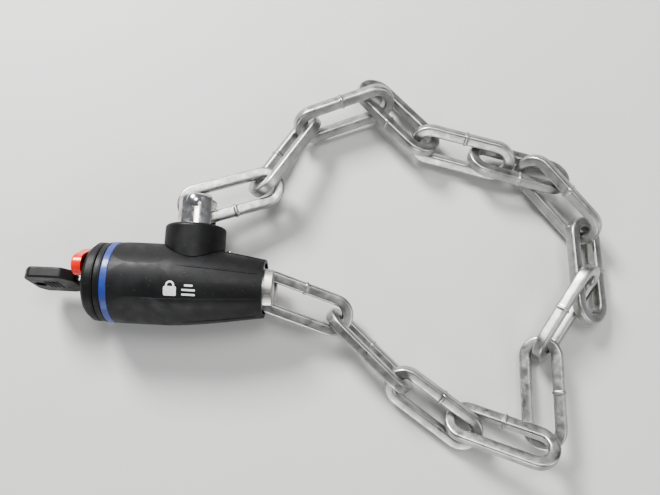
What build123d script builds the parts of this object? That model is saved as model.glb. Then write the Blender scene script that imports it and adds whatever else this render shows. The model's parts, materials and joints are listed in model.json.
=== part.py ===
from build123d import *
import math
import os

# A bicycle chain lock, lying on a flat surface as it is put down.
# A round barrel holds a turning disc core and a sliding locking bolt. A loop of fourteen
# welded links runs from the rivet in the bolt's fork to a pin in the barrel's tail.
# Millimetres. While it is modelled, +X runs along the barrel from the key end to the tail, the
# bolt slides out along +Y, +Z is up and the surface is at z = 0. At the end everything is
# moved so that the origin is under the middle of the whole lock.

# ---- driving dimensions --------------------------------------------------------------------

# Barrel, along X from the key end's face
CAP_LENGTH = 9.6
CAP_RADIUS = 17.5
CAP_FACE_WALL = 2.0
CAP_SIDE_WALL = 1.5
RING_WIDTH = 3.2
RING_RADIUS = 18.0
COVER_LENGTH = 64.5
COVER_RADIUS = 18.4
COVER_START_RADIUS = 17.9
TAIL_RADIUS = 13.0
COVER_WALL = 1.7
PANEL_RADIUS = 26.0
PANEL_EDGES = (23, 71.5, 108.5, 157)

# Core, from the key end inwards
SHIELD_THICKNESS = 2.4
CORE_BORE_RADIUS = 8.0
CARRIER_RADIUS = 6.5
CARRIER_FRONT = 2.4
DISC_RADIUS = 5.5
DISC_THICKNESS = 1.6
DISC_COUNT = 6
SPACER_THICKNESS = 1.2
SIDEBAR_WIDTH = 1.8
CAM_PLATE = 7.0
CAM_RADIUS = 4.2
CAM_BLADE_WIDTH = 7.0
CAM_BLADE_THICKNESS = 3.0
CAM_BLADE_DEPTH = 5.5
CLIP_THICKNESS = 1.2
SCREW_RADIUS = 1.75

# Bolt, along Y from the barrel's axis
BOLT_RADIUS = 9.0
BOLT_INNER_DEPTH = 8.0
BOLT_WALL = 3.75
COLLAR_WALL = 4.5
COLLAR_HEIGHT = 8.2
COLLAR_GAP = 0.3
RIVET_EDGE = 3.8
RIVET_HEAD_RADIUS = 3.4
RIVET_HEAD_HEIGHT = 1.3

# Fork at the tail, and the slots that the chain's end links lie in
TAIL_OUTSTAND = 4.6
TAIL_EAR_WIDTH = 15.5
TAIL_PIN_INSET = 0.0
TAIL_SLOT_DEPTH = 13.0
PIN_RADIUS = 2.5
FORK_SLOT = 10.2
TAIL_SLOT = 11.0

# Key
KEY_BLADE_WIDTH = 8.0
KEY_BLADE_THICKNESS = 2.2
KEY_BOW_LENGTH = 22.0
KEY_BOW_WIDTH = 22.0
KEY_BOW_THICKNESS = 5.0
KEY_BOW_GAP = 5.5
KEY_LEAN = 11.0
KEY_RING_HOLE_RADIUS = 2.5

# Keyhole cover on the end face, whose pin is beside the keyhole, clear of the turning key
FLAP_KEY_GAP = 0.4
FLAP_PIN_Z = 1.2
FLAP_ANGLE = 112.0
FLAP_WIDTH = 9.8
FLAP_REACH = 8.6
FLAP_THICKNESS = 4.4
FLAP_WALL = 1.5
FLAP_GAP = 0.5
FLAP_PIN_RADIUS = 1.4

# Chain
WIRE = 5.0
WIRE_CORNER = 1.1
LINK_LENGTH = 50.0
LINK_WIDTH = 19.0
WELD_RAISE = 0.45
WELD_WIDTH = 1.3

# Clearances: between pieces that turn or slide, pieces that are seated, and nested shells
RUNNING = 0.15
SEAT = 0.05
NESTED = 0.1

# ---- places worked out from them -----------------------------------------------------------

RING_X = CAP_LENGTH
COVER_X = RING_X + RING_WIDTH
TAIL_X = COVER_X + COVER_LENGTH
EAR_X = TAIL_X + TAIL_OUTSTAND
TAIL_PIN_X = TAIL_X - TAIL_PIN_INSET
EAR_RADIUS = TAIL_RADIUS - COVER_WALL - NESTED

BODY_X = CAP_FACE_WALL + NESTED
SLEEVE_X = BODY_X + SHIELD_THICKNESS
CARRIER_X = SLEEVE_X + RUNNING
DISC_X = CARRIER_X + CARRIER_FRONT
DISC_STEP = DISC_THICKNESS + SPACER_THICKNESS
STACK = DISC_COUNT * DISC_STEP - SPACER_THICKNESS
CARRIER_END = DISC_X + STACK + 2 * RUNNING + CAM_PLATE
CLIP_X = CARRIER_END + 2 * RUNNING
CORE_END = CLIP_X + CLIP_THICKNESS + 2 * RUNNING
SCREW_X = SLEEVE_X + 20

BOLT_X = CORE_END + BOLT_WALL + BOLT_RADIUS
BOLT_SIDE_X = BOLT_X - BOLT_RADIUS
COLLAR_RADIUS = BOLT_RADIUS + COLLAR_WALL
COLLAR_REACH = COVER_RADIUS + COLLAR_HEIGHT
FORK_BASE = COLLAR_REACH + COLLAR_GAP
RIVET_REACH = FORK_BASE + LINK_WIDTH / 2 + 0.8
BOLT_REACH = RIVET_REACH + RIVET_EDGE

SLOT_THICKNESS = KEY_BLADE_THICKNESS + 0.5
SLOT_WIDTH = KEY_BLADE_WIDTH + 0.6
KEY_TIP = DISC_X + STACK - 0.6
KEY_SWEEP_RADIUS = math.hypot(KEY_BLADE_WIDTH, KEY_BLADE_THICKNESS) / 2
FLAP_PIN_Y = KEY_SWEEP_RADIUS + FLAP_KEY_GAP + FLAP_WIDTH / 2

BEND_RADIUS = (LINK_WIDTH - WIRE) / 2
BEND_X = (LINK_LENGTH - LINK_WIDTH) / 2

BOTTOM = (Align.CENTER, Align.CENTER, Align.MIN)


def panel_crest(half_angle):
    """Height of a panel's middle from the barrel's axis, for edges that lie on the cover's round."""
    edge = COVER_RADIUS - SEAT
    chord = edge * math.sin(half_angle)
    return edge * math.cos(half_angle) + PANEL_RADIUS - math.sqrt(PANEL_RADIUS ** 2 - chord ** 2)


# the barrel lies on its lowest panel
AXIS_Z = panel_crest(math.radians(PANEL_EDGES[0]))


def along_x(shape, x=0.0):
    """Lay something modelled along +Z along +X, on the barrel's axis."""
    return Pos(x, 0, AXIS_Z) * Rot(0, 90, 0) * shape


def rod_x(radius, start, end, y=0.0, z=0.0):
    return Pos(0, y, z) * along_x(Cylinder(radius, end - start, align=BOTTOM), start)


def tube_x(outer, inner, start, end):
    return rod_x(outer, start, end) - rod_x(inner, start - 1, end + 1)


def rod_y(radius, start, end, x=0.0):
    """A round bar along +Y at the height of the barrel's axis."""
    return Pos(x, start, AXIS_Z) * Rot(-90, 0, 0) * Cylinder(radius, end - start, align=BOTTOM)


def block(x0, x1, y0, y1, z0, z1):
    return Pos((x0 + x1) / 2, (y0 + y1) / 2, (z0 + z1) / 2) * Box(x1 - x0, y1 - y0, z1 - z0)


def turned(points):
    """A solid turned about the barrel's axis from a closed outline of (x, radius) points."""
    outline = Polyline(*[(x, 0, r) for x, r in points], close=True)
    return Pos(0, 0, AXIS_Z) * revolve(make_face(outline), Axis.X, 360)


# ---- barrel --------------------------------------------------------------------------------

def barrel_solid(inset, start, end):
    """The cover's swelling and tapering form, inset by a wall, cut off square at both ends."""
    swell_x = COVER_X + 0.24 * COVER_LENGTH
    shoulder_x = COVER_X + 0.62 * COVER_LENGTH
    shoulder_radius = TAIL_RADIUS + 0.66 * (COVER_RADIUS - TAIL_RADIUS)
    curve = Spline(
        (COVER_X, 0, COVER_START_RADIUS - inset),
        (swell_x, 0, COVER_RADIUS - inset),
        (shoulder_x, 0, shoulder_radius - inset),
        (TAIL_X, 0, TAIL_RADIUS - inset),
    )
    edges = Polyline(
        (TAIL_X, 0, TAIL_RADIUS - inset), (TAIL_X, 0, 0), (COVER_X, 0, 0),
        (COVER_X, 0, COVER_START_RADIUS - inset),
    )
    whole = revolve(make_face(curve.edges() + edges.edges()), Axis.X, 360)
    whole = Pos(0, 0, AXIS_Z) * whole
    return whole & block(start, end, -30, 30, AXIS_Z - 30, AXIS_Z + 30)


def panel_prism():
    """A bar of eight slightly rounded panels, whose edges leave soft creases on the cover."""
    edge_radius = COVER_RADIUS - SEAT
    angles = list(PANEL_EDGES) + [a + 180 for a in PANEL_EDGES]
    arcs = []
    for first, second in zip(angles, angles[1:] + [angles[0] + 360]):
        half = math.radians(second - first) / 2
        middle = math.radians(first + second) / 2
        crest = panel_crest(half)
        ends = [(edge_radius * math.sin(a), edge_radius * math.cos(a))
                for a in (math.radians(first), math.radians(second))]
        arcs.append(ThreePointArc(ends[0], (crest * math.sin(middle), crest * math.cos(middle)), ends[1]))
    outline = [Pos(0, 0, AXIS_Z) * Plane.YZ.location * arc for arc in arcs]
    face = make_face([edge for arc in outline for edge in arc.edges()])
    return Pos(COVER_X - 1, 0, 0) * extrude(face, amount=COVER_LENGTH + 2, dir=(1, 0, 0))


def housing_cover():
    shell = barrel_solid(0, COVER_X, TAIL_X) & panel_prism()
    shell = shell - barrel_solid(COVER_WALL, COVER_X - 1, TAIL_X + 1)
    shell = shell - rod_y(BOLT_RADIUS + 0.5, 0, BOLT_REACH, BOLT_X)
    return shell - cover_pin(SEAT)


def cover_pin(grow=0.0):
    """The pin beside the bolt that stops the cover from turning. It stands just proud of it."""
    x = BOLT_X + COLLAR_RADIUS + 2.4
    return rod_y(1.2 + grow, BOLT_RADIUS, COVER_RADIUS + 5, x) & barrel_solid(-0.5, COVER_X, TAIL_X)


def lock_body():
    """The steel core of the barrel, with the fork for the last link at its tail."""
    body = rod_x(CAP_RADIUS - CAP_SIDE_WALL - NESTED, BODY_X, COVER_X)
    body = body + barrel_solid(COVER_WALL + NESTED, COVER_X, TAIL_X)
    ear_start = TAIL_X - TAIL_OUTSTAND
    ear = rod_x(EAR_RADIUS, ear_start, EAR_X)
    half = TAIL_EAR_WIDTH / 2
    ear = ear & block(ear_start, EAR_X, -half, half, 0, 2 * AXIS_Z)
    ear = chamfer(ear.faces().sort_by(Axis.X)[-1].edges(), 0.6)
    body = body + ear
    body = body - block(TAIL_PIN_X - TAIL_SLOT_DEPTH, EAR_X + 1, -COVER_RADIUS, COVER_RADIUS,
                        AXIS_Z - TAIL_SLOT / 2, AXIS_Z + TAIL_SLOT / 2)
    body = body - tail_pin_bar(SEAT)
    body = body - rod_x(CORE_BORE_RADIUS, BODY_X - 1, CORE_END)
    body = body - rod_x(CAM_RADIUS + RUNNING, BODY_X, BOLT_X)
    body = body - rod_y(BOLT_RADIUS + RUNNING, -BOLT_INNER_DEPTH - 1, BOLT_REACH, BOLT_X)
    return body - set_screw_bar(SEAT) - cover_pin(SEAT)


def tail_pin_bar(grow=0.0):
    """A blind pin, driven in from below, that stops short of the top of the fork."""
    low, high = AXIS_Z - EAR_RADIUS + 1.2, AXIS_Z + EAR_RADIUS - 1.8
    return Pos(TAIL_PIN_X, 0, low - grow) * Cylinder(PIN_RADIUS + grow, high - low + grow, align=BOTTOM)


def rear_pin():
    pin = tail_pin_bar()
    return chamfer(pin.edges().filter_by(GeomType.CIRCLE), 0.4)


def accent_ring():
    ring = tube_x(RING_RADIUS, CAP_RADIUS - CAP_SIDE_WALL + NESTED, RING_X, COVER_X)
    outer = ring.edges().filter_by(GeomType.CIRCLE).sort_by(SortBy.RADIUS)[-2:]
    return fillet(outer, 0.5)


def end_cap():
    """The ribbed cap over the key end, with a rounded face and the key opening."""
    rib, groove = CAP_RADIUS, CAP_RADIUS - 0.8
    face_radius = CAP_RADIUS - 3.4
    outside = turned([
        (0, 0), (0, face_radius - 1.0), (0.25, face_radius), (0.9, face_radius + 1.3),
        (1.7, face_radius + 2.1), (2.6, groove), (3.1, groove), (3.4, rib), (5.6, rib), (5.9, groove),
        (6.5, groove), (6.8, rib), (CAP_LENGTH, rib), (CAP_LENGTH, 0),
    ])
    hollow = rod_x(CAP_RADIUS - CAP_SIDE_WALL, CAP_FACE_WALL, CAP_LENGTH + 1)
    cap = outside - hollow - rod_x(SLOT_WIDTH / 2 + 0.4, -1, CAP_FACE_WALL + 1)
    return cap - flap_pin_bar(SEAT)


def flap_pin_bar(grow=0.0):
    return rod_x(FLAP_PIN_RADIUS + grow, -FLAP_GAP - FLAP_THICKNESS + 0.7, CAP_FACE_WALL,
                 FLAP_PIN_Y, FLAP_PIN_Z)


def cover_pivot_pin():
    head_x = -FLAP_GAP - FLAP_THICKNESS
    head = rod_x(FLAP_PIN_RADIUS + 1.0, head_x - 0.6, head_x - RUNNING, FLAP_PIN_Y, FLAP_PIN_Z)
    head = fillet(head.faces().sort_by(Axis.X)[0].edges(), 0.3)
    shank = rod_x(FLAP_PIN_RADIUS, head_x - RUNNING, CAP_FACE_WALL, FLAP_PIN_Y, FLAP_PIN_Z)
    return head + shank


def keyhole_cover():
    """A shallow red tray, open towards the barrel, that swings across the keyhole."""
    outer = SlotCenterToCenter(FLAP_REACH, FLAP_WIDTH)
    inner = SlotCenterToCenter(FLAP_REACH, FLAP_WIDTH - 2 * FLAP_WALL)
    tray = Pos(FLAP_REACH / 2, 0, 0) * extrude(outer, FLAP_THICKNESS)
    tray = fillet(tray.faces().sort_by(Axis.Z)[-1].edges(), 1.0)
    recess = Pos(FLAP_REACH / 2, 0, -1) * extrude(inner, FLAP_THICKNESS - FLAP_WALL + 1)
    boss = Cylinder(FLAP_PIN_RADIUS + 1.6, FLAP_THICKNESS - 0.5, align=BOTTOM)
    bore = Pos(0, 0, -1) * Cylinder(FLAP_PIN_RADIUS + RUNNING / 2, FLAP_THICKNESS + 2, align=BOTTOM)
    tray = tray - recess + boss - bore
    # on the end face, its own +X points away from the pin and its closed side faces -X
    turn = math.radians(FLAP_ANGLE)
    place = Plane((-FLAP_GAP, FLAP_PIN_Y, AXIS_Z + FLAP_PIN_Z),
                  x_dir=(0, math.cos(turn), math.sin(turn)), z_dir=(-1, 0, 0))
    return place * tray


# ---- core ----------------------------------------------------------------------------------

def key_slot(start, end, thickness, width):
    return block(start, end, -thickness / 2, thickness / 2, AXIS_Z - width / 2, AXIS_Z + width / 2)


def leaned(shape):
    """Turn a piece of the core about the barrel's axis to the angle that the key is left at."""
    return Pos(0, 0, AXIS_Z) * Rot(-KEY_LEAN, 0, 0) * Pos(0, 0, -AXIS_Z) * shape


def shield_plate():
    """Hardened plate in front of the discs, with a round hole that the key passes."""
    plate = rod_x(CORE_BORE_RADIUS - SEAT, BODY_X, SLEEVE_X)
    return plate - rod_x(SLOT_WIDTH / 2 + 0.4, BODY_X - 1, SLEEVE_X + 1)


def core_sleeve():
    """The fixed sleeve that the core turns in, with the groove that the sidebar locks into."""
    sleeve = tube_x(CORE_BORE_RADIUS - SEAT, CARRIER_RADIUS + SEAT, SLEEVE_X, CARRIER_END)
    half = SIDEBAR_WIDTH / 2 + NESTED
    groove = block(DISC_X - 1, CARRIER_END + 1, -half, half, AXIS_Z, AXIS_Z + CARRIER_RADIUS + 0.9)
    return sleeve - groove - set_screw_bar(SEAT)


def set_screw_bar(grow=0.0):
    low, high = AXIS_Z - CAP_RADIUS + 2.6, AXIS_Z - CARRIER_RADIUS - 0.4
    return Pos(SCREW_X, 0, low - grow) * Cylinder(SCREW_RADIUS + grow, high - low + grow, align=BOTTOM)


def set_screw():
    """The set screw that holds the sleeve, driven in from below, with a hexagon socket."""
    socket = extrude(RegularPolygon(1.0, 6), 3.0)
    return set_screw_bar() - Pos(SCREW_X, 0, AXIS_Z - CAP_RADIUS + 1.6) * socket


def lock_plug():
    """The disc carrier, closed at the front round the key slot and open behind for the discs."""
    carrier = rod_x(CARRIER_RADIUS, CARRIER_X, CARRIER_END)
    cavity = rod_x(DISC_RADIUS + SEAT, DISC_X, CARRIER_END + 1)
    carrier = carrier - cavity - key_slot(CARRIER_X - 1, CARRIER_END, SLOT_THICKNESS, SLOT_WIDTH)
    half = SIDEBAR_WIDTH / 2
    window = block(DISC_X, DISC_X + STACK, -CARRIER_RADIUS - 1, 0, AXIS_Z - half, AXIS_Z + half)
    return leaned(carrier - window)


def disc(start, thickness):
    """A round plate with the key's slot, and a notch for the sidebar."""
    plate = rod_x(DISC_RADIUS, start, start + thickness)
    plate = plate - key_slot(start - 1, start + thickness + 1, SLOT_THICKNESS, SLOT_WIDTH)
    half = SIDEBAR_WIDTH / 2 + NESTED
    notch = block(start - 1, start + thickness + 1, -CARRIER_RADIUS, -DISC_RADIUS + 0.9,
                  AXIS_Z - half, AXIS_Z + half)
    return leaned(plate - notch)


def detainer_discs():
    first = DISC_X + RUNNING
    return [disc(first + i * DISC_STEP, DISC_THICKNESS) for i in range(DISC_COUNT)]


def disc_spacers():
    first = DISC_X + RUNNING + DISC_THICKNESS
    return [disc(first + i * DISC_STEP, SPACER_THICKNESS) for i in range(DISC_COUNT - 1)]


def sidebar():
    """The bar that lies in the discs' notches while the lock is open."""
    inner, outer = DISC_RADIUS - 0.8, CARRIER_RADIUS
    bar = block(DISC_X + 0.3, DISC_X + STACK - 0.3, -outer, -inner,
                AXIS_Z - SIDEBAR_WIDTH / 2 + 0.06, AXIS_Z + SIDEBAR_WIDTH / 2 - 0.06)
    return leaned(bar & rod_x(CARRIER_RADIUS, DISC_X, DISC_X + STACK))


def drive_cam():
    """The core's tail: a plate behind the discs, a neck, and the blade that holds the bolt."""
    plate = rod_x(DISC_RADIUS, DISC_X + STACK + 2 * RUNNING, CARRIER_END)
    neck = rod_x(CAM_RADIUS, CARRIER_END, BOLT_SIDE_X - 0.6)
    half_width, half_thick = CAM_BLADE_WIDTH / 2, CAM_BLADE_THICKNESS / 2
    tip = BOLT_SIDE_X + CAM_BLADE_DEPTH
    blade = block(CARRIER_END, tip, -half_width, half_width, AXIS_Z - half_thick, AXIS_Z + half_thick)
    blade = blade & rod_x(half_width, CARRIER_END, tip)
    return plate + neck + blade


def plug_clip():
    """Snap ring on the cam's neck, behind the sleeve."""
    ring = tube_x(CARRIER_RADIUS + 0.6, CAM_RADIUS + SEAT, CLIP_X, CLIP_X + CLIP_THICKNESS)
    return ring - block(CLIP_X - 1, CORE_END, -1.2, 1.2, AXIS_Z, AXIS_Z + 2 * CARRIER_RADIUS)


# ---- key -----------------------------------------------------------------------------------

def key_bow():
    """The flat moulded head: a rounded square that narrows to a neck round the blade."""
    half, end = KEY_BOW_WIDTH / 2, -KEY_BOW_GAP - KEY_BOW_LENGTH
    neck = half - 4.5
    outline = Polyline(
        (-KEY_BOW_GAP, -neck), (-KEY_BOW_GAP, neck), (-KEY_BOW_GAP - 5, half), (end + 3, half),
        (end, half - 4), (end, -half + 4), (end + 3, -half), (-KEY_BOW_GAP - 5, -half), close=True)
    face = make_face(outline)
    face = fillet(face.vertices(), 2.2)
    bow = extrude(face, KEY_BOW_THICKNESS / 2, both=True)
    bow = fillet(bow.edges().filter_by(Plane.XY), 0.9)
    hole = Pos(end + 4.6, 0, 0) * Cylinder(KEY_RING_HOLE_RADIUS, KEY_BOW_THICKNESS + 2)
    bow = Pos(0, 0, AXIS_Z) * Rot(90, 0, 0) * (bow - hole)
    return leaned(bow - key_slot(-KEY_BOW_GAP - 8, 0, KEY_BLADE_THICKNESS, KEY_BLADE_WIDTH))


def key_blade():
    """A flat steel blade with one cut for each disc along its lower edge."""
    half = KEY_BLADE_WIDTH / 2
    tip = KEY_TIP
    blade = key_slot(-KEY_BOW_GAP - 8, tip, KEY_BLADE_THICKNESS, KEY_BLADE_WIDTH)
    for i in range(DISC_COUNT - 1):
        x = DISC_X + RUNNING + i * DISC_STEP
        depth = 0.5 + 0.35 * (i * 3 % 5)
        blade = blade - block(x, x + DISC_THICKNESS, -2, 2, AXIS_Z - half - 1, AXIS_Z - half + depth)
    nose = block(tip - 1.6, tip + 1, -2, 2, AXIS_Z + half - 1.6, AXIS_Z + half + 1)
    return leaned(blade - nose)


# ---- bolt ----------------------------------------------------------------------------------

def bolt():
    bar = rod_y(BOLT_RADIUS, -BOLT_INNER_DEPTH, BOLT_REACH, BOLT_X)
    bar = fillet(bar.faces().sort_by(Axis.Y)[-1].edges(), 2.6)
    bar = chamfer(bar.faces().sort_by(Axis.Y)[0].edges(), 0.8)
    fork = block(BOLT_X - 2 * BOLT_RADIUS, BOLT_X + 2 * BOLT_RADIUS, FORK_BASE, BOLT_REACH + 1,
                 AXIS_Z - FORK_SLOT / 2, AXIS_Z + FORK_SLOT / 2)
    pocket_x = BOLT_SIDE_X + CAM_BLADE_DEPTH + 0.4
    pocket = rod_x(CAM_BLADE_WIDTH / 2 + 0.3, BOLT_SIDE_X - 1, pocket_x)
    half = CAM_BLADE_THICKNESS / 2 + 0.3
    way = block(BOLT_SIDE_X - 1, pocket_x, -BOLT_INNER_DEPTH - 1, 0, AXIS_Z - half, AXIS_Z + half)
    groove = rod_y(BOLT_RADIUS + 1, 9.2, 10.6, BOLT_X) - rod_y(BOLT_RADIUS - 1.1, 9, 11, BOLT_X)
    return bar - fork - pocket - way - groove - rivet_bar(SEAT)


def rivet_bar(grow=0.0):
    length = 2 * BOLT_RADIUS - 0.6
    return Pos(BOLT_X, RIVET_REACH, AXIS_Z - length / 2) * Cylinder(PIN_RADIUS + grow, length, align=BOTTOM)


def bolt_rivet():
    """The rivet through the fork and the first link, with a low domed head on top."""
    reach, height = RIVET_HEAD_RADIUS, RIVET_HEAD_HEIGHT
    radius = (reach ** 2 + height ** 2) / (2 * height)
    dome = Pos(0, 0, height - radius) * Sphere(radius) & Cylinder(reach + 1, 2 * height, align=BOTTOM)
    seat = Cylinder(reach, 1.0, align=(Align.CENTER, Align.CENTER, Align.MAX))
    place = Pos(BOLT_X, RIVET_REACH, AXIS_Z + BOLT_RADIUS - 0.3)
    head = place * (dome + seat) - rod_y(BOLT_RADIUS, 0, BOLT_REACH, BOLT_X)
    return rivet_bar() + head


def bolt_collar():
    """Black collar on the bolt, hollowed underneath to sit close to the tapering cover."""
    ring = rod_y(COLLAR_RADIUS, 6, COLLAR_REACH, BOLT_X)
    ring = fillet(ring.faces().sort_by(Axis.Y)[-1].edges(), 1.6)
    ring = ring - rod_y(BOLT_RADIUS + SEAT, 0, BOLT_REACH, BOLT_X)
    return ring - barrel_solid(-COLLAR_GAP, COVER_X, TAIL_X)


def bolt_seal():
    ring = Torus(BOLT_RADIUS - 0.5, 0.58)
    return Pos(BOLT_X, 9.9, AXIS_Z) * Rot(90, 0, 0) * ring


# ---- chain ---------------------------------------------------------------------------------

def link_at_origin():
    """One welded link, flat in XY, long along X, with the weld in the middle of its -Y side."""
    a, r = BEND_X, BEND_RADIUS
    path = Wire([
        Edge.make_line((-a, -r, 0), (a, -r, 0)),
        Edge.make_three_point_arc((a, -r, 0), (a + r, 0, 0), (a, r, 0)),
        Edge.make_line((a, r, 0), (-a, r, 0)),
        Edge.make_three_point_arc((-a, r, 0), (-a - r, 0, 0), (-a, -r, 0)),
    ])
    section = Plane((-a, -r, 0), x_dir=(0, 1, 0), z_dir=(1, 0, 0)) * RectangleRounded(WIRE, WIRE, WIRE_CORNER)
    ring = sweep(section, path=path)
    size = WIRE + 2 * WELD_RAISE
    bead = Plane((-WELD_WIDTH / 2, -r, 0), x_dir=(0, 1, 0), z_dir=(1, 0, 0)) * RectangleRounded(size, size, 1.6)
    return ring + extrude(bead, WELD_WIDTH)


# How the chain lies, from the bolt's rivet to the tail pin. One row a link: the way it points
# (degrees from +X towards +Y), how much higher its far bend is than its near one, how far it
# leans (degrees, positive with its left side up), the height of its middle, and where its near
# bend's centre lies from the last link's far bend's centre, along X and Y.
CHAIN_LAY = [
    (22.5, -4.5, 6, 15.8, 0.1, -0.4),
    (60.5, -4.75, -55, 11.3, 0.4, 3.8),
    (24, 0.5, 57, 11, 4.5, 3.3),
    (-43, 3.25, -28, 9.3, 0.2, 5),
    (-11, 0.25, 44, 9.7, 4.9, -1.8),
    (-9, -3.5, -28, 8.6, -3.2, 0),
    (-45.5, -0.75, 51, 10, -8, -0.7),
    (-84.5, 1.25, -30, 8.2, 2.3, -5.4),
    (-117.5, -4.25, -57, 11.1, -4.3, 8.6),
    (-86.5, 1.5, 27, 8, -2.3, -7),
    (166.5, -9.75, 33, 12.3, -5.7, -7.4),
    (148, 1.5, -26, 7.3, -1.7, -3.1),
    (140, 0.25, 72, 9.8, -5.6, 4.8),
    (165, 5.75, -9, 14.3, -5.7, 4.4),
]
# where the last link's far bend's centre lies from the tail pin
LAST_HOOK = (1.3, -0.7)
# the links whose weld is on their left side; the others have it on their right
LEFT_WELDS = (2, 3, 5, 7, 8, 10)
# the chain is laid from both ends, and the two arms meet after this many links
FIRST_ARM = 7


def flat_reach(rise):
    """Distance in plan between a link's two bends, when one is higher than the other by rise."""
    return math.sqrt((2 * BEND_X) ** 2 - rise ** 2)


def arm_points(rows, start, sign):
    """Near and far bend centres in plan, link by link, walking away from a pin at start."""
    x, y = start
    points = []
    for heading, rise, _, _, hook_x, hook_y in rows:
        if sign > 0:
            x, y = x + hook_x, y + hook_y
        first = (x, y)
        turn, reach = math.radians(heading), sign * flat_reach(rise)
        x, y = x + reach * math.cos(turn), y + reach * math.sin(turn)
        points.append((first, (x, y)))
        if sign < 0:
            x, y = x - hook_x, y - hook_y
    return points, (x, y)


def turned_about(point, centre, angle):
    dx, dy = point[0] - centre[0], point[1] - centre[1]
    c, s = math.cos(angle), math.sin(angle)
    return centre[0] + c * dx - s * dy, centre[1] + s * dx + c * dy


def chain_places():
    """Each link's place. The two arms are turned about their pins until their ends meet."""
    rivet, pin = (BOLT_X, RIVET_REACH), (TAIL_PIN_X, 0.0)
    first_rows, last_rows = CHAIN_LAY[:FIRST_ARM], CHAIN_LAY[FIRST_ARM:]
    first, first_end = arm_points(first_rows, rivet, 1)
    tail_start = (pin[0] + LAST_HOOK[0], pin[1] + LAST_HOOK[1])
    last, last_end = arm_points(last_rows[::-1], tail_start, -1)
    reach_a, reach_b = math.dist(first_end, rivet), math.dist(last_end, pin)
    base = math.dist(rivet, pin)
    along = (reach_a ** 2 - reach_b ** 2 + base ** 2) / (2 * base)
    across = math.sqrt(reach_a ** 2 - along ** 2)
    ux, uy = (pin[0] - rivet[0]) / base, (pin[1] - rivet[1]) / base
    meet = (rivet[0] + along * ux - across * uy, rivet[1] + along * uy + across * ux)
    places = []
    for rows, points, centre, end in ((first_rows, first, rivet, first_end), (last_rows[::-1], last, pin, last_end)):
        swing = (math.atan2(meet[1] - centre[1], meet[0] - centre[0])
                 - math.atan2(end[1] - centre[1], end[0] - centre[0]))
        arm = []
        for (heading, rise, lean, height, _, _), (near, far) in zip(rows, points):
            middle = turned_about(((near[0] + far[0]) / 2, (near[1] + far[1]) / 2), centre, swing)
            climb = math.degrees(math.asin(rise / (2 * BEND_X)))
            arm.append(Pos(middle[0], middle[1], height)
                       * Rot(0, 0, heading + math.degrees(swing)) * Rot(0, -climb, 0) * Rot(lean, 0, 0))
        places += arm if rows is first_rows else arm[::-1]
    return places


def make_shapes():
    shapes = {
        "housing_cover": housing_cover(), "accent_ring": accent_ring(), "end_cap": end_cap(),
        "cover_pin": cover_pin(), "cover_pivot_pin": cover_pivot_pin(), "keyhole_cover": keyhole_cover(),
        "lock_body": lock_body(), "rear_pin": rear_pin(), "shield_plate": shield_plate(),
        "core_sleeve": core_sleeve(), "set_screw": set_screw(), "lock_plug": lock_plug(),
        "detainer_discs": detainer_discs(), "disc_spacers": disc_spacers(), "sidebar": sidebar(),
        "drive_cam": drive_cam(), "plug_clip": plug_clip(), "key_bow": key_bow(), "key_blade": key_blade(),
        "bolt": bolt(), "bolt_rivet": bolt_rivet(), "bolt_collar": bolt_collar(), "bolt_seal": bolt_seal(),
    }
    link = link_at_origin()
    for number, place in enumerate(chain_places(), 1):
        roll = 180 if number in LEFT_WELDS else 0
        shapes[f"link_{number:02d}"] = place * Rot(roll, 0, 0) * link
    return shapes


def footprint_shift(shapes):
    """The move that puts the origin under the middle of everything, on the surface."""
    boxes = [solid.bounding_box() for shape in shapes.values()
             for solid in (shape if isinstance(shape, list) else [shape])]
    low_x, high_x = min(b.min.X for b in boxes), max(b.max.X for b in boxes)
    low_y, high_y = min(b.min.Y for b in boxes), max(b.max.Y for b in boxes)
    return Pos(-(low_x + high_x) / 2, -(low_y + high_y) / 2, -min(b.min.Z for b in boxes))


SHAPES = make_shapes()
SHIFT = footprint_shift(SHAPES)

if __name__ == "__main__":
    os.makedirs("parts", exist_ok=True)
    for name, shape in SHAPES.items():
        solids = shape if isinstance(shape, list) else [shape]
        placed = [SHIFT * solid for solid in solids]
        whole = placed[0] if len(placed) == 1 else Compound(children=placed)
        export_step(whole, f"parts/{name}.step")
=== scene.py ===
import json
import math

import bmesh
import bpy
import numpy as np
from mathutils import Matrix, Vector
from mathutils.bvhtree import BVHTree


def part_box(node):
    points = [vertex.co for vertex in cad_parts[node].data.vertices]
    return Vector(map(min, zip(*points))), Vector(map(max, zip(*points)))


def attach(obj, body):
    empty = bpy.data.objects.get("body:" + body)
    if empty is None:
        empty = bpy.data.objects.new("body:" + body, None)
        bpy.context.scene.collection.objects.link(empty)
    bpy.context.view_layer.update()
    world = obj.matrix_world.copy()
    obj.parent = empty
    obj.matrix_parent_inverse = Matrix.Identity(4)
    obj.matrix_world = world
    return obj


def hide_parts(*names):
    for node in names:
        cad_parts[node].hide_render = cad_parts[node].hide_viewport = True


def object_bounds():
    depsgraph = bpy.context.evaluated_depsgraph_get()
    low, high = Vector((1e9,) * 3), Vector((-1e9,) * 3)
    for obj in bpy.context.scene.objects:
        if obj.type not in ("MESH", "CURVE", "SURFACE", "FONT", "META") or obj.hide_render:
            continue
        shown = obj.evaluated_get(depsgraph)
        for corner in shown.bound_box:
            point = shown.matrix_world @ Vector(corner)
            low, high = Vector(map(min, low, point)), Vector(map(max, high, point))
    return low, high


bl_info = {
    "name": "Bicycle chain lock",
    "version": (1, 0, 0),
    "blender": (4, 5, 0),
    "location": "View3D > Sidebar > Chain Lock",
    "description": "Builds the looks of a bicycle chain lock over its packed frame",
    "category": "Add Mesh",
}

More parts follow.
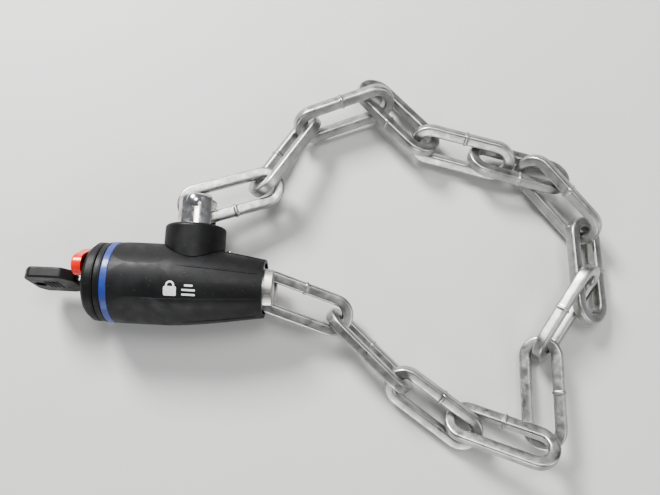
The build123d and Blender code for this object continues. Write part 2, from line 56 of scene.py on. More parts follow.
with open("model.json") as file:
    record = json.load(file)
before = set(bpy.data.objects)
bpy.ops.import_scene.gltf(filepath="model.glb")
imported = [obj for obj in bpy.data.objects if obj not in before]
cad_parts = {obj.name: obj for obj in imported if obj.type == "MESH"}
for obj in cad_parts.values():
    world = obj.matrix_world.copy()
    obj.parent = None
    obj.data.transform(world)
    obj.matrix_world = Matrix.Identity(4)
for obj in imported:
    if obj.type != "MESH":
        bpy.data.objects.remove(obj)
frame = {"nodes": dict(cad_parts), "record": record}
CAD_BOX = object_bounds()
NODES = frame["nodes"]
BODY_OF = {node: body for body, nodes in frame["record"]["behaviour"]["bodies"].items() for node in nodes}
SLOT_OF = {part["node"]: part["material_slot"] for part in frame["record"]["subparts"]}
LINKS = sorted(node for node in NODES if node.startswith("link_"))
MM = 0.001

# the barrel's axis and its ends, from the frame
BARREL_LOW, BARREL_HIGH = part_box("housing_cover")
CAP_LOW, CAP_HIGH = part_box("end_cap")
AXIS_Y = (CAP_LOW.y + CAP_HIGH.y) / 2
AXIS_Z = (CAP_LOW.z + CAP_HIGH.z) / 2

# each rib on the cover: its angle from the top in degrees, and where it starts, as a share of the
# cover's length. All of them end at the same share.
RIB_PLACES = (
    (23, 0.42), (-25, 0.16), (71, 0.40), (-71, 0.40), (109, 0.40), (-109, 0.40), (157, 0.30), (-157, 0.30),
)
RIB_END = 0.98
# the shares of a rib over which it fades in and out
RIB_FADE_IN, RIB_FADE_OUT = 0.22, 0.06
RIB_CUTS = 38
# the printed mark's middle along the cover, as a share of the cover's length, and across it
MARK_PLACE, MARK_ASIDE = 0.49, -2.3 * MM
# the mark's bars: how high each lies and how long it is, as shares of the mark's size
MARK_BARS = ((-0.36, 0.66), (-0.14, 0.66), (0.08, 0.42))
MARK_GRID = 0.5 * MM
INK_THICKNESS = 0.06 * MM
# the ribs round the end cap, as shares of its length
CAP_RIB_PLACES = (0.60, 0.93)
# where the cap's radius is read, in degrees from the top, away from its openings
CAP_PLAIN_SIDE = -140.0
# the grip ridges on each side of the key bow, as shares of its length
RIDGE_PLACES = (0.36, 0.44, 0.52, 0.60)


# ---- sizes and colours -----------------------------------------------------------------------

class ChainSizes(bpy.types.PropertyGroup):
    weld_swell: bpy.props.FloatProperty(
        name="Weld swell", description="How far the weld's flash stands out of the wire",
        default=0.42 * MM, min=0.0, unit="LENGTH")
    weld_width: bpy.props.FloatProperty(
        name="Weld width", description="Width of the weld's flash along the wire",
        default=1.3 * MM, min=0.0002, unit="LENGTH")
    bend_steps: bpy.props.IntProperty(
        name="Bend steps", description="Faces round each bend of a link", default=20, min=8)


class BarrelSizes(bpy.types.PropertyGroup):
    rib_width: bpy.props.FloatProperty(
        name="Rib width", description="Width of the fine ribs along the cover",
        default=0.75 * MM, min=0.0001, unit="LENGTH")
    rib_height: bpy.props.FloatProperty(
        name="Rib height", description="How far the ribs stand out of the cover",
        default=0.28 * MM, min=0.0, unit="LENGTH")
    mark_size: bpy.props.FloatProperty(
        name="Mark size", description="Half of the length of the printed mark",
        default=8.6 * MM, min=0.001, unit="LENGTH")


class CapSizes(bpy.types.PropertyGroup):
    rib_width: bpy.props.FloatProperty(
        name="Cap rib width", description="Width of the round ribs on the end cap",
        default=1.3 * MM, min=0.0001, unit="LENGTH")
    rib_height: bpy.props.FloatProperty(
        name="Cap rib height", description="How far the round ribs stand out of the end cap",
        default=0.32 * MM, min=0.0, unit="LENGTH")


class KeySizes(bpy.types.PropertyGroup):
    ridge_length: bpy.props.FloatProperty(
        name="Ridge length", description="Length of the grip ridges across the key bow",
        default=8.0 * MM, min=0.0005, unit="LENGTH")
    ridge_width: bpy.props.FloatProperty(
        name="Ridge width", description="Width of each grip ridge",
        default=0.9 * MM, min=0.0001, unit="LENGTH")
    ridge_height: bpy.props.FloatProperty(
        name="Ridge height", description="How far the grip ridges stand out of the bow",
        default=0.35 * MM, min=0.0, unit="LENGTH")


class Finishes(bpy.types.PropertyGroup):
    zinc: bpy.props.FloatVectorProperty(
        name="Zinc", description="Colour of the chain's plating", subtype="COLOR",
        default=(0.44, 0.44, 0.425), min=0.0, max=1.0)
    cover_black: bpy.props.FloatVectorProperty(
        name="Cover black", description="Colour of the barrel's moulded cover", subtype="COLOR",
        default=(0.0075, 0.0075, 0.0080), min=0.0, max=1.0)
    ring_blue: bpy.props.FloatVectorProperty(
        name="Ring blue", description="Colour of the ring behind the end cap", subtype="COLOR",
        default=(0.024, 0.052, 0.250), min=0.0, max=1.0)
    flap_red: bpy.props.FloatVectorProperty(
        name="Flap red", description="Colour of the keyhole cover", subtype="COLOR",
        default=(0.760, 0.028, 0.014), min=0.0, max=1.0)
    mark_white: bpy.props.FloatVectorProperty(
        name="Mark white", description="Colour of the printed mark", subtype="COLOR",
        default=(0.78, 0.78, 0.77), min=0.0, max=1.0)


class StageSizes(bpy.types.PropertyGroup):
    floor_size: bpy.props.FloatProperty(
        name="Floor size", description="Side of the square floor", default=6.0, min=1.0, unit="LENGTH")
    eye_distance: bpy.props.FloatProperty(
        name="Eye distance", description="From the camera to the point on the floor that it looks at",
        default=0.2878, min=0.1, unit="LENGTH")
    eye_tilt: bpy.props.FloatProperty(
        name="Eye tilt", description="How far the camera leans from straight above, towards -Y",
        default=math.radians(9.43), subtype="ANGLE")
    eye_side: bpy.props.FloatProperty(
        name="Eye side", description="How far the camera leans from straight above, towards +X",
        default=math.radians(0.79), subtype="ANGLE")
    turn: bpy.props.FloatProperty(
        name="Turn", description="How far the view is turned about the vertical",
        default=math.radians(2.7), subtype="ANGLE")
    lens: bpy.props.FloatProperty(
        name="Lens", description="Focal length in millimetres on a 36 mm sensor", default=32.7, min=10.0)


# ---- modelling helpers -----------------------------------------------------------------------

def clear_selection():
    if bpy.context.mode != "OBJECT":
        bpy.ops.object.mode_set(mode="OBJECT")
    bpy.ops.object.select_all(action="DESELECT")


def only(piece):
    """Make a piece the one that operators act on."""
    clear_selection()
    piece.select_set(True)
    bpy.context.view_layer.objects.active = piece


def newest(name):
    """Name the object that a primitive operator has just added."""
    piece = bpy.context.object
    piece.name = name
    piece.data.name = name
    return piece


def pick(piece, kind, test):
    """In edit mode, select only the elements (verts, edges or faces) whose middle passes the test."""
    mesh = bmesh.from_edit_mesh(piece.data)
    for each in (mesh.verts, mesh.edges, mesh.faces):
        for element in each:
            element.select = False
    mesh.select_mode = {{"verts": "VERT", "edges": "EDGE", "faces": "FACE"}[kind]}
    for element in getattr(mesh, kind):
        if kind == "verts":
            middle = element.co
        elif kind == "edges":
            middle = (element.verts[0].co + element.verts[1].co) / 2
        else:
            middle = element.calc_center_median()
        if test(middle, element):
            element.select_set(True)
    mesh.select_flush_mode()
    bmesh.update_edit_mesh(piece.data)


def modified(piece, kind, **settings):
    """Add a modifier and apply it."""
    only(piece)
    modifier = piece.modifiers.new(kind.title(), kind)
    for key, value in settings.items():
        setattr(modifier, key, value)
    bpy.ops.object.modifier_apply(modifier=modifier.name)


def settle(piece):
    """Put a piece's place into its mesh, so that its object sits at the origin."""
    only(piece)
    bpy.ops.object.transform_apply(location=True, rotation=True, scale=True)


def smooth(piece, angle=35.0):
    only(piece)
    bpy.ops.object.shade_smooth_by_angle(angle=math.radians(angle))


def finish_piece(piece, node, material, stands_for=True):
    """Give a new piece its finish, and let it move with the CAD node's body."""
    piece.data.materials.clear()
    piece.data.materials.append(material)
    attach(piece, BODY_OF[node])
    if stands_for:
        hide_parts(node)


def paint(node, material):
    """Give a CAD node its material."""
    slots = NODES[node].data.materials
    slots.clear()
    slots.append(material)


# ---- materials -------------------------------------------------------------------------------

class Finish:
    """A procedural material, put together from a few kinds of node on Object coordinates."""

    def __init__(self, name, colour, metallic=0.0, roughness=0.5, **sockets):
        self.material = bpy.data.materials.new(name)
        self.material.use_nodes = True
        self.tree = self.material.node_tree
        self.shader = self.tree.nodes["Principled BSDF"]
        self.shader.inputs["Base Color"].default_value = (*colour, 1.0)
        self.shader.inputs["Metallic"].default_value = metallic
        self.shader.inputs["Roughness"].default_value = roughness
        for socket, value in sockets.items():
            self.shader.inputs[socket.replace("_", " ")].default_value = value
        self.place = self.tree.nodes.new("ShaderNodeTexCoord").outputs["Object"]
        self.last_bump = None

    def link(self, start, end):
        self.tree.links.new(start, end)

    def stretched(self, scale, turn=(0.0, 0.0, 0.0)):
        """Object coordinates, stretched and turned, for grain that runs one way."""
        mapping = self.tree.nodes.new("ShaderNodeMapping")
        mapping.inputs["Scale"].default_value = scale
        mapping.inputs["Rotation"].default_value = turn
        self.link(self.place, mapping.inputs["Vector"])
        return mapping.outputs["Vector"]

    def noise(self, scale, detail=4.0, rough=0.55, place=None):
        """Noise of a size given in patches to the metre."""
        node = self.tree.nodes.new("ShaderNodeTexNoise")
        node.inputs["Scale"].default_value = scale
        node.inputs["Detail"].default_value = detail
        node.inputs["Roughness"].default_value = rough
        self.link(place or self.place, node.inputs["Vector"])
        return node.outputs["Fac"]

    def cells(self, scale, place=None):
        node = self.tree.nodes.new("ShaderNodeTexVoronoi")
        node.inputs["Scale"].default_value = scale
        self.link(place or self.place, node.inputs["Vector"])
        return node.outputs["Distance"]

    def spread(self, value, low, high, to_low, to_high):
        """A value from low to high, given out as to_low to to_high, and held there outside it."""
        node = self.tree.nodes.new("ShaderNodeMapRange")
        for socket, number in zip(("From Min", "From Max", "To Min", "To Max"), (low, high, to_low, to_high)):
            node.inputs[socket].default_value = number
        self.link(value, node.inputs["Value"])
        return node.outputs["Result"]

    def blend(self, share, first, second):
        """A colour between two others. Each is a colour or another node's output."""
        node = self.tree.nodes.new("ShaderNodeMix")
        node.data_type = "RGBA"
        self.link(share, node.inputs[0])
        for socket, colour in ((node.inputs[6], first), (node.inputs[7], second)):
            if isinstance(colour, bpy.types.NodeSocket):
                self.link(colour, socket)
            else:
                socket.default_value = (*colour, 1.0)
        return node.outputs[2]

    def colour(self, output):
        self.link(output, self.shader.inputs["Base Color"])
        return self

    def roughness(self, output):
        self.link(output, self.shader.inputs["Roughness"])
        return self

    def bump(self, height, strength, distance=0.0001):
        node = self.tree.nodes.new("ShaderNodeBump")
        node.inputs["Strength"].default_value = strength
        node.inputs["Distance"].default_value = distance
        self.link(height, node.inputs["Height"])
        if self.last_bump:
            self.link(self.last_bump, node.inputs["Normal"])
        self.last_bump = node.outputs["Normal"]
        self.link(self.last_bump, self.shader.inputs["Normal"])
        return self


def shade(colour, factor):
    return tuple(min(1.0, channel * factor) for channel in colour)


def zinc_plate(colour):
    """Dull plated steel: cloudy, with a fine rough skin and small dark pits."""
    finish = Finish("zinc plated steel", colour, metallic=1.0, roughness=0.36)
    clouds = finish.spread(finish.noise(130.0, 5.0), 0.36, 0.64, 0.0, 1.0)
    tint = finish.blend(clouds, shade(colour, 0.80), shade(colour, 1.16))
    pits = finish.spread(finish.noise(700.0, 3.0, 0.7), 0.66, 0.76, 0.0, 0.75)
    finish.colour(finish.blend(pits, tint, (0.16, 0.14, 0.12)))
    finish.roughness(finish.spread(finish.noise(320.0, 6.0, 0.6), 0.3, 0.7, 0.26, 0.50))
    finish.bump(finish.noise(900.0, 5.0, 0.65), 0.30, 0.00006)
    return finish.bump(finish.noise(160.0, 2.0), 0.25, 0.0002).material


def grained_plastic(name, colour, grain=2600.0, dust=0.5):
    """Moulded black plastic with a fine spark-eroded grain, handled marks and a little dust."""
    finish = Finish(name, colour, roughness=0.5, Specular_IOR_Level=0.32)
    worn = finish.spread(finish.noise(90.0, 6.0, 0.6), 0.42, 0.68, 0.0, 1.0)
    tint = finish.blend(worn, colour, shade(colour, 1.7))
    specks = finish.spread(finish.cells(520.0), 0.035, 0.075, dust, 0.0)
    finish.colour(finish.blend(specks, tint, (0.30, 0.29, 0.27)))
    finish.roughness(finish.spread(finish.noise(210.0, 5.0), 0.3, 0.7, 0.40, 0.58))
    finish.bump(finish.noise(grain, 2.0, 0.5), 0.45, 0.00005)
    return finish.bump(finish.noise(240.0, 3.0), 0.10, 0.0002).material


def gloss_plastic(name, colour, roughness=0.22):
    """Smooth moulded plastic with a slightly uneven skin and fine rub marks."""
    finish = Finish(name, colour, roughness=roughness, Coat_Weight=0.25, Coat_Roughness=0.12)
    cloud = finish.spread(finish.noise(160.0, 3.0), 0.35, 0.7, 0.0, 1.0)
    finish.colour(finish.blend(cloud, colour, shade(colour, 0.78)))
    rubs = finish.noise(700.0, 6.0, 0.7, finish.stretched((1.0, 6.0, 2.0), (0.3, 0.2, 0.5)))
    finish.roughness(finish.spread(rubs, 0.35, 0.75, roughness * 0.8, roughness * 1.8))
    return finish.bump(finish.noise(420.0, 2.0), 0.12, 0.00012).material


def chrome_plate():
    """Bright plating over turned steel, with smudges and faint turning lines across the bolt."""
    finish = Finish("chrome plate", (0.74, 0.735, 0.72), metallic=1.0, roughness=0.14)
    stain = finish.spread(finish.noise(210.0, 5.0, 0.6), 0.48, 0.72, 0.0, 1.0)
    finish.colour(finish.blend(stain, (0.78, 0.775, 0.76), (0.42, 0.37, 0.31)))
    finish.roughness(finish.spread(finish.noise(260.0, 5.0), 0.3, 0.7, 0.10, 0.30))
    lines = finish.noise(900.0, 2.0, 0.4, finish.stretched((0.15, 2.4, 0.15)))
    return finish.bump(lines, 0.14, 0.00005).material


def bare_steel(name, colour, roughness, grain_along=(0.2, 1.0, 1.0)):
    """Milled or ground steel, with grain along one direction."""
    finish = Finish(name, colour, metallic=1.0, roughness=roughness)
    cloud = finish.spread(finish.noise(140.0, 4.0), 0.35, 0.7, 0.0, 1.0)
    finish.colour(finish.blend(cloud, colour, shade(colour, 0.72)))
    lines = finish.noise(1600.0, 4.0, 0.6, finish.stretched(grain_along))
    finish.roughness(finish.spread(lines, 0.3, 0.7, roughness * 0.8, roughness * 1.4))
    return finish.bump(lines, 0.18, 0.00004).material


def rubber():
    finish = Finish("seal rubber", (0.012, 0.012, 0.012), roughness=0.62)
    finish.colour(finish.blend(finish.noise(400.0), (0.010, 0.010, 0.010), (0.022, 0.022, 0.021)))
    return finish.bump(finish.noise(1800.0, 3.0), 0.2, 0.00004).material


def floor_paint():
    finish = Finish("pale floor", (0.62, 0.615, 0.60), roughness=0.62)
    finish.colour(finish.blend(finish.noise(6.0, 6.0), (0.60, 0.595, 0.58), (0.65, 0.645, 0.63)))
    return finish.bump(finish.noise(260.0, 4.0), 0.03, 0.0002).material


MATERIALS = {}


def make_materials(looks):
    MATERIALS.update({
        "link_steel": zinc_plate(tuple(looks.zinc)),
        "cover_black": grained_plastic("cover plastic", tuple(looks.cover_black)),
        "cap_black": grained_plastic("cap plastic", shade(looks.cover_black, 0.9), 3200.0, 0.35),
        "collar_black": grained_plastic("collar plastic", shade(looks.cover_black, 0.9), 3400.0, 0.3),
        "key_black": grained_plastic("key plastic", shade(looks.cover_black, 1.2), 3000.0, 0.3),
        "ring_blue": gloss_plastic("ring plastic", tuple(looks.ring_blue), 0.42),
        "flap_red": gloss_plastic("flap plastic", tuple(looks.flap_red), 0.24),
        "bolt_chrome": chrome_plate(),
        "body_steel": bare_steel("milled steel", (0.56, 0.55, 0.53), 0.34),
        "bright_steel": bare_steel("ground steel", (0.66, 0.655, 0.64), 0.26),
        "hard_steel": bare_steel("hardened steel", (0.34, 0.33, 0.32), 0.38),
        "key_steel": bare_steel("key steel", (0.60, 0.585, 0.55), 0.28),
        "brass": bare_steel("brass", (0.62, 0.44, 0.18), 0.32),
        "seal_rubber": rubber(),
        "mark_white": gloss_plastic("printed white", tuple(looks.mark_white), 0.42),
    })


# ---- chain -----------------------------------------------------------------------------------

def link_frame(node):
    """The place of a link, from its CAD node: X along it, -Y on its welded side, Z square to it."""
    points = np.array([v.co[:] for v in NODES[node].data.vertices])
    points = np.unique(points.round(7), axis=0)
    spin = np.linalg.svd(points - points.mean(0), full_matrices=False)[2]
    square = spin[2]
    # the direction in the link's plane across which it is narrowest
    best = None
    for step in range(1801):
        turn = math.radians(step * 0.1)
        across = math.cos(turn) * spin[0] + math.sin(turn) * spin[1]
        along = points @ across
        width = along.max() - along.min()
        if best is None or width < best[0]:
            best = (width, across)
    across = best[1]
    along = np.cross(across, square)
    # the weld's flash stands out in the middle of one side
    reach = points @ along
    middle = (reach.max() + reach.min()) / 2
    side = points @ across
    near = side[np.abs(reach - middle) < 0.8 * MM]
    far = side[np.abs(reach - middle) > 4 * MM]
    if near.max() - far.max() > far.min() - near.min():
        across, side, far = -across, -side, -far
        along = -along
        middle = -middle
    centre = along * middle + across * (far.max() + far.min()) / 2
    level = points @ square
    centre = centre + square * (level.max() + level.min()) / 2
    upright = np.cross(along, across)
    return Matrix(((along[0], across[0], upright[0], centre[0]),
                   (along[1], across[1], upright[1], centre[1]),
                   (along[2], across[2], upright[2], centre[2]),
                   (0.0, 0.0, 0.0, 1.0)))


def wire_sizes(node, place):
    """(half of the straight, radius of the bends, width of the wire) of a link, from its CAD node."""
    flat = place.inverted()
    local = np.array([(flat @ v.co)[:] for v in NODES[node].data.vertices])
    away = local[np.abs(local[:, 0]) > 4 * MM]
    wire = away[:, 2].max() - away[:, 2].min()
    radius = (away[:, 1].max() - away[:, 1].min() - wire) / 2
    half = away[:, 0].max() - radius - wire / 2
    return half, radius, wire


def model_link(sizes, half, radius, wire):
    """One link: a rounded square of wire, drawn round a long loop and closed by a weld."""
    clear_selection()
    bpy.ops.mesh.primitive_plane_add(size=wire, location=(0.0, -radius, 0.0), rotation=(0.0, math.pi / 2, 0.0))
    link = newest("chain_link_pattern")
    settle(link)
    bpy.ops.object.mode_set(mode="EDIT")
    bpy.ops.mesh.select_all(action="SELECT")
    bpy.ops.mesh.bevel(offset=wire * 0.24, segments=4, affect="VERTICES")
    bpy.ops.mesh.delete(type="ONLY_FACE")
    bpy.ops.mesh.select_all(action="SELECT")
    start = sizes.weld_width / 2
    # close rings of faces at the weld, then wider ones along the straight
    stations = (
        start * 0.35, start * 0.8, start, start * 1.5, half * 0.22, half * 0.42, half * 0.62, half * 0.82, half,
    )
    at = 0.0
    for x in stations:
        bpy.ops.mesh.extrude_region_move(TRANSFORM_OT_translate={"value": (x - at, 0.0, 0.0)})
        at = x
    bpy.ops.mesh.spin(steps=sizes.bend_steps, angle=math.pi, center=(half, 0.0, 0.0), axis=(0.0, 0.0, -1.0))
    for _ in range(8):
        bpy.ops.mesh.extrude_region_move(TRANSFORM_OT_translate={"value": (-half / 4, 0.0, 0.0)})
    bpy.ops.mesh.spin(steps=sizes.bend_steps, angle=math.pi, center=(-half, 0.0, 0.0), axis=(0.0, 0.0, -1.0))
    at = -half
    for x in [-s for s in stations[-2::-1]] + [0.0]:
        bpy.ops.mesh.extrude_region_move(TRANSFORM_OT_translate={"value": (x - at, 0.0, 0.0)})
        at = x
    bpy.ops.mesh.select_all(action="SELECT")
    bpy.ops.mesh.remove_doubles(threshold=0.02 * MM)
    bpy.ops.mesh.normals_make_consistent(inside=False)
    # the flash: the wire swells at the weld, and its crest is rough
    pick(link, "verts", lambda co, _: abs(co.x) < start * 0.9 and co.y < 0.0)
    bpy.ops.transform.shrink_fatten(value=sizes.weld_swell)
    pick(link, "verts", lambda co, _: abs(co.x) < start * 0.5 and co.y < 0.0)
    bpy.ops.transform.vertex_random(offset=0.12 * MM, seed=5)
    bpy.ops.object.mode_set(mode="OBJECT")
    modified(link, "SUBSURF", levels=1, render_levels=1)
    smooth(link, 60.0)
    return link


class LOCK_OT_chain(bpy.types.Operator):
    """Model one welded link, and lay a copy of it in each place of the chain"""
    bl_idname = "lock.chain"
    bl_label = "Chain links"

    def execute(self, context):
        sizes = context.scene.lock_chain
        places = {node: link_frame(node) for node in LINKS}
        first = LINKS[0]
        pattern = model_link(sizes, *wire_sizes(first, places[first]))
        for node in LINKS:
            only(pattern)
            bpy.ops.object.duplicate()
            link = newest(f"{node}_wire")
            link.matrix_world = places[node]
            settle(link)
            finish_piece(link, node, MATERIALS["link_steel"])
        only(pattern)
        bpy.ops.object.delete()
        return {"FINISHED"}


# ---- barrel, core and bolt -------------------------------------------------------------------

def surface_of(*nodes):
    """A tree of the faces of CAD nodes, to find points on their surface."""
    points, faces = [], []
    for node in nodes:
        mesh = NODES[node].data
        start = len(points)
        points += [v.co.copy() for v in mesh.vertices]
        faces += [[start + i for i in face.vertices] for face in mesh.polygons]
    return BVHTree.FromPolygons(points, faces)


def on_barrel(tree, x, angle):
    """The point on the cover at a place along it and an angle from the top, and the way out there."""
    out = Vector((0.0, math.sin(angle), math.cos(angle)))
    start = Vector((x, AXIS_Y, AXIS_Z)) + out * 0.05
    point, normal, _, _ = tree.ray_cast(start, -out)
    if point is None:
        raise RuntimeError("the cover has no surface there")
    return point, normal


class LOCK_OT_cover_ribs(bpy.types.Operator):
    """Raise a fine rib, which fades out at both ends, along each crease of the cover"""
    bl_idname = "lock.cover_ribs"
    bl_label = "Ribs on the cover"

    def execute(self, context):
        sizes = context.scene.lock_barrel
        tree = surface_of("housing_cover")
        length = BARREL_HIGH.x - BARREL_LOW.x
        for number, (degrees, first) in enumerate(RIB_PLACES, 1):
            start = BARREL_LOW.x + first * length
            end = BARREL_LOW.x + RIB_END * length
            clear_selection()
            bpy.ops.mesh.primitive_cylinder_add(
                vertices=10, radius=sizes.rib_width / 2, depth=end - start, end_fill_type="TRIFAN",
                location=((start + end) / 2, 0.0, 0.0), rotation=(0.0, math.pi / 2, 0.0))
            rib = newest(f"cover_rib_{number}")
            settle(rib)
            bpy.ops.object.mode_set(mode="EDIT")
            pick(rib, "edges", lambda _, edge: abs(edge.verts[0].co.x - edge.verts[1].co.x) > length / 2)
            bpy.ops.mesh.subdivide_edgering(number_cuts=RIB_CUTS)
            bpy.ops.object.mode_set(mode="OBJECT")
            lay_along_crease(rib, tree, math.radians(degrees), start, end, sizes.rib_height)
            modified(rib, "SUBSURF", levels=1, render_levels=1)
            smooth(rib, 80.0)
            finish_piece(rib, "housing_cover", MATERIALS["cover_black"], stands_for=False)
        return {"FINISHED"}


def lay_along_crease(rib, tree, angle, start, end, height):
    """Bend a straight rib onto the cover, sunk so that it stands just proud, and thin its ends."""
    for vertex in rib.data.vertices:
        x = min(max(vertex.co.x, start + 0.01 * MM), end - 0.01 * MM)
        point, normal = on_barrel(tree, x, angle)
        side = normal.cross(Vector((1.0, 0.0, 0.0))).normalized()
        share = (x - start) / (end - start)
        fade = min(1.0, share / RIB_FADE_IN, (1.0 - share) / RIB_FADE_OUT)
        flat = vertex.co.y * (0.35 + 0.65 * fade)
        raised = max(vertex.co.z, -0.1 * MM) * 0.5 + height * (fade - 0.75)
        vertex.co = point + side * flat + normal * raised


class LOCK_OT_cap_ribs(bpy.types.Operator):
    """Run rounded ribs round the end cap"""
    bl_idname = "lock.cap_ribs"
    bl_label = "Ribs on the end cap"

    def execute(self, context):
        sizes = context.scene.lock_cap
        tree = surface_of("end_cap")
        for number, share in enumerate(CAP_RIB_PLACES, 1):
            x = CAP_LOW.x + share * (CAP_HIGH.x - CAP_LOW.x)
            point, _ = on_barrel(tree, x, math.radians(CAP_PLAIN_SIDE))
            radius = math.hypot(point.y - AXIS_Y, point.z - AXIS_Z)
            half = sizes.rib_width / 2
            clear_selection()
            bpy.ops.mesh.primitive_torus_add(
                major_segments=128, minor_segments=14, major_radius=radius + sizes.rib_height - half,
                minor_radius=half, location=(x, AXIS_Y, AXIS_Z), rotation=(0.0, math.pi / 2, 0.0))
            rib = newest(f"cap_rib_{number}")
            settle(rib)
            smooth(rib, 80.0)
            finish_piece(rib, "end_cap", MATERIALS["cap_black"], stands_for=False)
        return {"FINISHED"}


class LOCK_OT_key_grip(bpy.types.Operator):
    """Raise grip ridges on both faces of the key bow"""
    bl_idname = "lock.key_grip"
    bl_label = "Grip of the key"

    def execute(self, context):
        sizes = context.scene.lock_key
        tree = surface_of("key_bow")
        low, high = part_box("key_bow")
        points = np.array([v.co[:] for v in NODES["key_bow"].data.vertices])
        square = Vector(np.linalg.svd(points - points.mean(0), full_matrices=False)[2][2])
        square = (square - Vector((square.x, 0.0, 0.0))).normalized()
        along = Vector((1.0, 0.0, 0.0))
        across = square.cross(along)
        number = 0
        for side in (1.0, -1.0):
            for share in RIDGE_PLACES:
                number += 1
                middle = Vector((low.x + share * (high.x - low.x), (low.y + high.y) / 2, (low.z + high.z) / 2))
                face = tree.ray_cast(middle + square * side * 20 * MM, -square * side)[0]
                if face is None:
                    raise RuntimeError("the key bow has no face there")
                ridge = round_bar(f"key_ridge_{number}", sizes)
                turn = Matrix((along, across, square)).transposed().to_4x4()
                ridge.matrix_world = Matrix.Translation(face) @ turn
                settle(ridge)
                finish_piece(ridge, "key_bow", MATERIALS["key_black"], stands_for=False)
        return {"FINISHED"}


def round_bar(name, sizes):
    """A bar with all its edges rounded, as wide and as high as a grip ridge."""
    clear_selection()
    bpy.ops.mesh.primitive_cube_add(size=1.0)
    bar = newest(name)
    bar.scale = (sizes.ridge_width, sizes.ridge_length, 2 * sizes.ridge_height)
    settle(bar)
    bpy.ops.object.mode_set(mode="EDIT")
    bpy.ops.mesh.select_all(action="SELECT")
    bpy.ops.mesh.bevel(offset=0.3 * sizes.ridge_width, segments=4, affect="EDGES")
    bpy.ops.object.mode_set(mode="OBJECT")
    smooth(bar, 50.0)
    return bar


class LOCK_OT_printed_mark(bpy.types.Operator):
    """Print a plain padlock sign and two bars on the cover"""
    bl_idname = "lock.printed_mark"
    bl_label = "Printed mark"

    def execute(self, context):
        sizes = context.scene.lock_barrel
        tree = surface_of("housing_cover")
        across = sizes.mark_size
        middle = Vector((BARREL_LOW.x + MARK_PLACE * (BARREL_HIGH.x - BARREL_LOW.x), AXIS_Y + MARK_ASIDE, 0.0))
        body = flat_plate("mark_body", middle + Vector((-0.55 * across, -0.22 * across, 0.0)),
                          0.62 * across, 0.46 * across, 0.07 * across)
        shackle = half_ring("mark_shackle", middle + Vector((-0.55 * across, 0.01 * across, 0.0)),
                            0.13 * across, 0.22 * across)
        bars = [flat_plate(f"mark_bar_{number}", middle + Vector((0.34 * across, height * across, 0.0)),
                           width * across, 0.10 * across, 0.04 * across)
                for number, (height, width) in enumerate(MARK_BARS, 1)]
        for piece in (body, shackle, *bars):
            print_on(piece, tree)
            finish_piece(piece, "housing_cover", MATERIALS["mark_white"], stands_for=False)
        return {"FINISHED"}


def flat_plate(name, middle, width, height, corner):
    """A flat plate with rounded corners, ready to be cut fine and laid on the cover."""
    clear_selection()
    bpy.ops.mesh.primitive_plane_add(size=1.0, location=middle)
    plate = newest(name)
    plate.scale = (width, height, 1.0)
    settle(plate)
    bpy.ops.object.mode_set(mode="EDIT")
    bpy.ops.mesh.select_all(action="SELECT")
    bpy.ops.mesh.bevel(offset=corner, segments=4, affect="VERTICES")
    bpy.ops.object.mode_set(mode="OBJECT")
    return plate


def half_ring(name, middle, inner, outer):
    """The flat bow of the padlock sign: half a ring with two short straight legs."""
    clear_selection()
    start = middle + Vector(((inner + outer) / 2, -0.05 * outer, 0.0))
    bpy.ops.mesh.primitive_plane_add(size=1.0, location=start)
    ring = newest(name)
    ring.scale = (outer - inner, 0.5 * outer, 1.0)
    settle(ring)
    bpy.ops.object.mode_set(mode="EDIT")
    top = middle.y + 0.19 * outer
    pick(ring, "edges", lambda mid, _: mid.y > top)
    bpy.ops.mesh.spin(
        steps=20, angle=math.pi, center=(middle.x, middle.y + 0.2 * outer, 0.0), axis=(0.0, 0.0, -1.0))
    bpy.ops.mesh.extrude_region_move(TRANSFORM_OT_translate={"value": (0.0, -0.5 * outer, 0.0)})
    bpy.ops.object.mode_set(mode="OBJECT")
    return ring


def print_on(piece, tree):
    """Cut a flat shape fine, lay it on the cover and give it the thickness of ink."""
    only(piece)
    bpy.ops.object.mode_set(mode="EDIT")
    bpy.ops.mesh.select_all(action="SELECT")
    low = Vector([min(v.co[i] for v in bmesh.from_edit_mesh(piece.data).verts) for i in range(3)])
    high = Vector([max(v.co[i] for v in bmesh.from_edit_mesh(piece.data).verts) for i in range(3)])
    for axis in (0, 1):
        count = max(1, round((high[axis] - low[axis]) / MARK_GRID))
        for cut in range(1, count):
            place = [0.0, 0.0, 0.0]
            normal = [0.0, 0.0, 0.0]
            place[axis] = low[axis] + (high[axis] - low[axis]) * cut / count
            normal[axis] = 1.0
            bpy.ops.mesh.select_all(action="SELECT")
            bpy.ops.mesh.bisect(plane_co=place, plane_no=normal)
    bpy.ops.mesh.select_all(action="SELECT")
    bpy.ops.mesh.normals_make_consistent(inside=False)
    bpy.ops.object.mode_set(mode="OBJECT")
    for vertex in piece.data.vertices:
        point, normal, _, _ = tree.ray_cast(Vector((vertex.co.x, vertex.co.y, 0.1)), Vector((0.0, 0.0, -1.0)))
        vertex.co = point + normal * (INK_THICKNESS / 2)
    modified(piece, "SOLIDIFY", thickness=INK_THICKNESS, offset=0.0)
    smooth(piece, 40.0)


class LOCK_OT_frame_finishes(bpy.types.Operator):
    """Give each CAD piece that stays the finish of its material slot"""
    bl_idname = "lock.frame_finishes"
    bl_label = "Finishes of the frame"

    def execute(self, context):
        for node in NODES:
            paint(node, MATERIALS[SLOT_OF[node]])
        return {"FINISHED"}


# ---- stage -----------------------------------------------------------------------------------

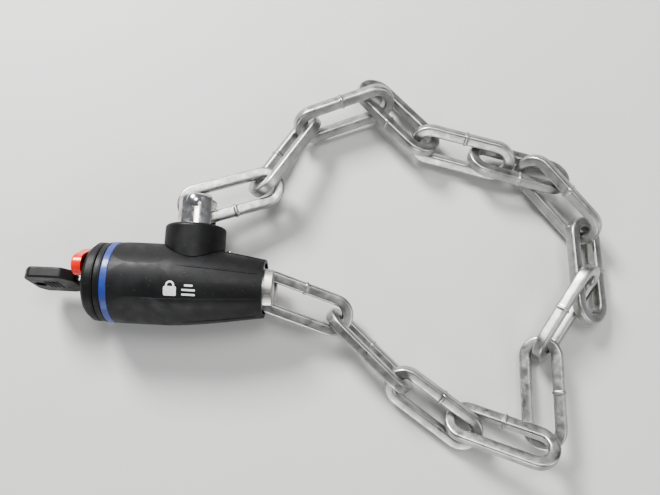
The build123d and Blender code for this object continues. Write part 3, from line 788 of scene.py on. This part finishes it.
class LOCK_OT_stage(bpy.types.Operator):
    """Lay the floor, hang the soft lights and place the camera"""
    bl_idname = "lock.stage"
    bl_label = "Stage"

    def execute(self, context):
        sizes = context.scene.lock_stage
        clear_selection()
        bpy.ops.mesh.primitive_plane_add(size=sizes.floor_size, location=(0.0, 0.0, CAD_BOX[0].z))
        floor = newest("floor")
        settle(floor)
        floor.data.materials.append(floor_paint())
        soft_light("key_light", (-0.45, 0.66, 0.62), 0.28, 17.0)
        soft_light("fill_light", (0.75, -0.35, 0.60), 0.60, 3.0)
        soft_light("top_light", (0.10, 0.30, 1.00), 0.40, 4.0)
        soft_light("low_light", (-0.20, -0.90, 0.30), 0.50, 3.5)
        world = bpy.data.worlds.new("studio")
        world.use_nodes = True
        world.node_tree.nodes["Background"].inputs["Color"].default_value = (0.86, 0.90, 0.96, 1.0)
        world.node_tree.nodes["Background"].inputs["Strength"].default_value = 0.20
        context.scene.world = world
        context.scene.view_settings.view_transform = "AgX"
        context.scene.view_settings.look = "AgX - Medium High Contrast"
        place_camera(context, sizes)
        return {"FINISHED"}


def soft_light(name, place, size, watts):
    """A square soft box that looks at the object's middle."""
    clear_selection()
    bpy.ops.object.light_add(type="AREA", location=place)
    light = newest(name)
    light.data.shape = "SQUARE"
    light.data.size = size
    light.data.energy = watts
    light.rotation_euler = (-Vector(place)).to_track_quat("-Z", "Y").to_euler()
    return light


def place_camera(context, sizes):
    """The camera looks down at a point on the floor, close to the middle of the whole lock."""
    low, high = CAD_BOX
    aim = Vector((low.x + 0.5075 * (high.x - low.x), low.y + 0.529 * (high.y - low.y), low.z))
    turn = Matrix.Rotation(sizes.turn, 3, "Z")
    side, tilt = math.sin(sizes.eye_side), math.sin(sizes.eye_tilt)
    back = Vector((side, -tilt, math.sqrt(1.0 - side * side - tilt * tilt)))
    across = Vector((0.0, 1.0, 0.0)).cross(back).normalized()
    up = back.cross(across)
    pose = turn @ Matrix((across, up, back)).transposed()
    clear_selection()
    bpy.ops.object.camera_add(location=aim + turn @ back * sizes.eye_distance)
    camera = newest("camera")
    camera.rotation_euler = pose.to_euler()
    camera.data.sensor_width = 36.0
    camera.data.lens = sizes.lens
    camera.data.clip_start = 0.01
    camera.data.clip_end = 20.0
    context.scene.camera = camera


# ---- panel and registration ------------------------------------------------------------------

STEPS = (
    LOCK_OT_frame_finishes, LOCK_OT_chain, LOCK_OT_cover_ribs, LOCK_OT_cap_ribs, LOCK_OT_key_grip,
    LOCK_OT_printed_mark, LOCK_OT_stage,
)


class LOCK_PT_panel(bpy.types.Panel):
    """Lists the steps that build the chain lock"""
    bl_idname = "LOCK_PT_panel"
    bl_label = "Bicycle chain lock"
    bl_space_type = "VIEW_3D"
    bl_region_type = "UI"
    bl_category = "Chain Lock"

    def draw(self, context):
        for step in STEPS:
            self.layout.operator(step.bl_idname)
        scene = context.scene
        for group_name in GROUPS:
            group = getattr(scene, group_name)
            box = self.layout.box()
            for name in group.__annotations__:
                box.prop(group, name)


GROUPS = {
    "lock_chain": ChainSizes, "lock_barrel": BarrelSizes, "lock_cap": CapSizes, "lock_key": KeySizes,
    "lock_finishes": Finishes, "lock_stage": StageSizes,
}
CLASSES = (*GROUPS.values(), *STEPS, LOCK_PT_panel)


def register():
    for each in CLASSES:
        bpy.utils.register_class(each)
    for name, group in GROUPS.items():
        setattr(bpy.types.Scene, name, bpy.props.PointerProperty(type=group))


def unregister():
    for name in GROUPS:
        delattr(bpy.types.Scene, name)
    for each in reversed(CLASSES):
        bpy.utils.unregister_class(each)


def run(step):
    """Call an operator by its class, as its button does."""
    group, name = step.bl_idname.split(".")
    getattr(getattr(bpy.ops, group), name)()


def main():
    register()
    make_materials(bpy.context.scene.lock_finishes)
    for step in STEPS:
        run(step)


if __name__ == "__main__":
    main()
